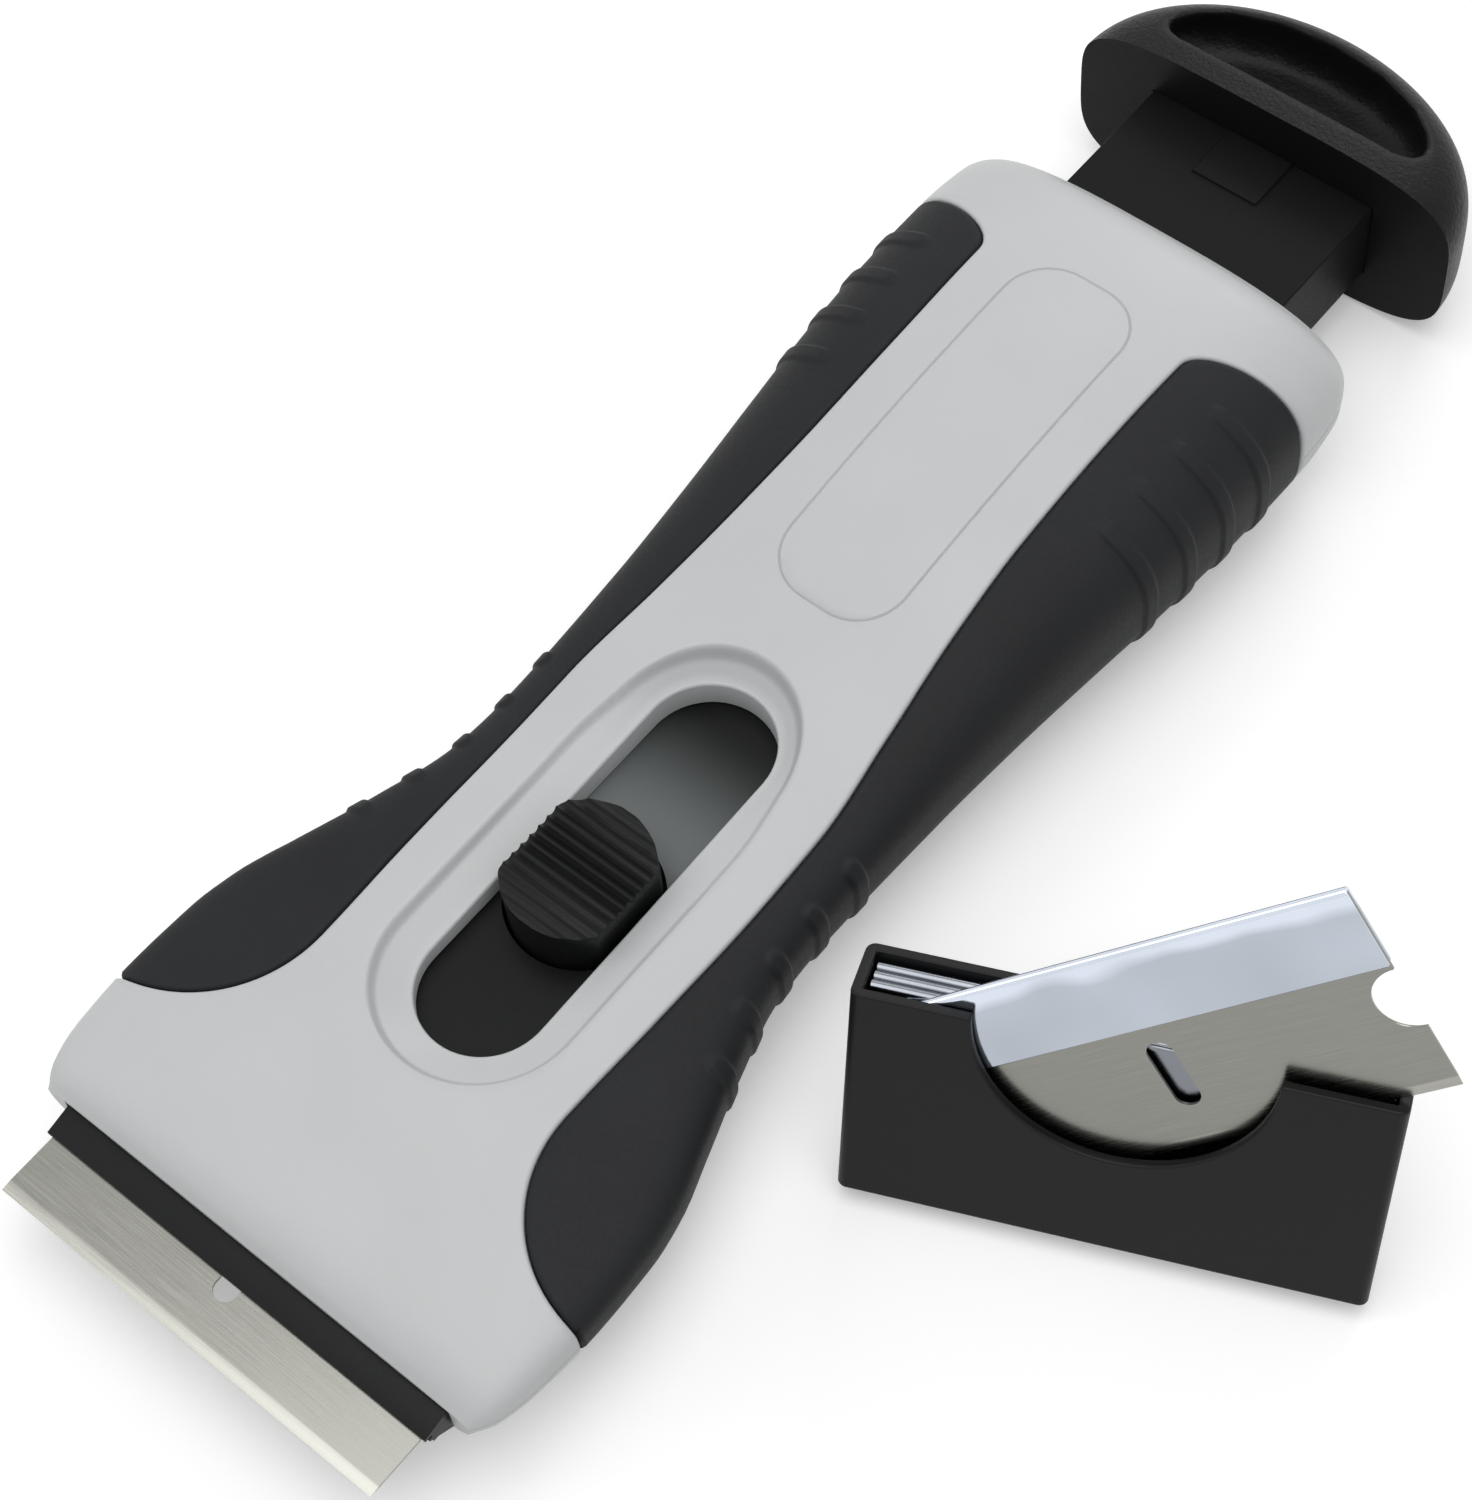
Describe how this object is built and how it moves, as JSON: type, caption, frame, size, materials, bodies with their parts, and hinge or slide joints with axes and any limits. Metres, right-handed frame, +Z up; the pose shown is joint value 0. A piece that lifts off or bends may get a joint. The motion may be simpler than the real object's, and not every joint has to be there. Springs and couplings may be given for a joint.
{
  "type": "razor blade scraper",
  "caption": "Retractable razor blade scraper with a waisted two-shell handle, soft ribbed grips, thumb slide, rear storage drawer and a loose magazine of spare blades.",
  "frame": {"origin": "middle of the flat under the handle, on the table", "axes": "+Y along the handle from the blade to the drawer, +Z up, +X to the right seen from behind the blade"},
  "size_m": [0.0906, 0.1525, 0.0384],
  "materials": {
    "pale_shell": "satin moulded grain",
    "soft_grip": "matte",
    "screw_steel": "plated",
    "slide_plastic": "satin",
    "blade_steel": "ground",
    "spine_steel": "bright rolled",
    "spring_steel": "bright rolled",
    "button_plastic": "matte",
    "drawer_plastic": "fine moulded grain",
    "magazine_plastic": "matte"
  },
  "bodies": {
    "handle": {"upper_shell": "pale_shell", "lower_shell": "pale_shell", "left_grip": "soft_grip", "right_grip": "soft_grip", "shell_screws": "screw_steel"},
    "slide": {"slide_carriage": "slide_plastic", "clamp_bar": "slide_plastic", "clamp_screws": "screw_steel", "blade": "blade_steel", "blade_spine": "spine_steel", "button_spring": "spring_steel"},
    "button": {"thumb_button": "button_plastic"},
    "drawer": {"drawer_tray": "drawer_plastic", "drawer_pull": "drawer_plastic"},
    "magazine": {"magazine_case": "magazine_plastic", "spare_blade_a": "blade_steel", "spare_blade_b": "blade_steel", "spare_blade_c": "blade_steel", "spare_spine_a": "spine_steel", "spare_spine_b": "spine_steel", "spare_spine_c": "spine_steel"},
    "drawn": {"drawn_blade": "blade_steel", "drawn_spine": "spine_steel"}
  },
  "joints": [
    {"name": "blade_slide", "type": "slide", "parent": "handle", "child": "slide", "axis": [0, 1, 0], "range_m": [-0.009, 0.011]},
    {"name": "button_press", "type": "slide", "parent": "slide", "child": "button", "axis": [0, 0, -1], "range_m": [0, 0.0012], "stiffness_N_per_m": 2500, "springref_m": -0.0004, "deforming": ["button_spring"]},
    {"name": "drawer_slide", "type": "slide", "parent": "handle", "child": "drawer", "axis": [0, 1, 0], "range_m": [-0.0152, 0.022]},
    {"name": "magazine_lift", "type": "slide", "parent": "handle", "child": "magazine", "axis": [0, 0, 1], "range_m": [0, 0.06]},
    {"name": "blade_draw", "type": "slide", "parent": "magazine", "child": "drawn", "axis": [0.6796, 0.5119, 0.5255], "range_m": [0, 0.03]}
  ]
}
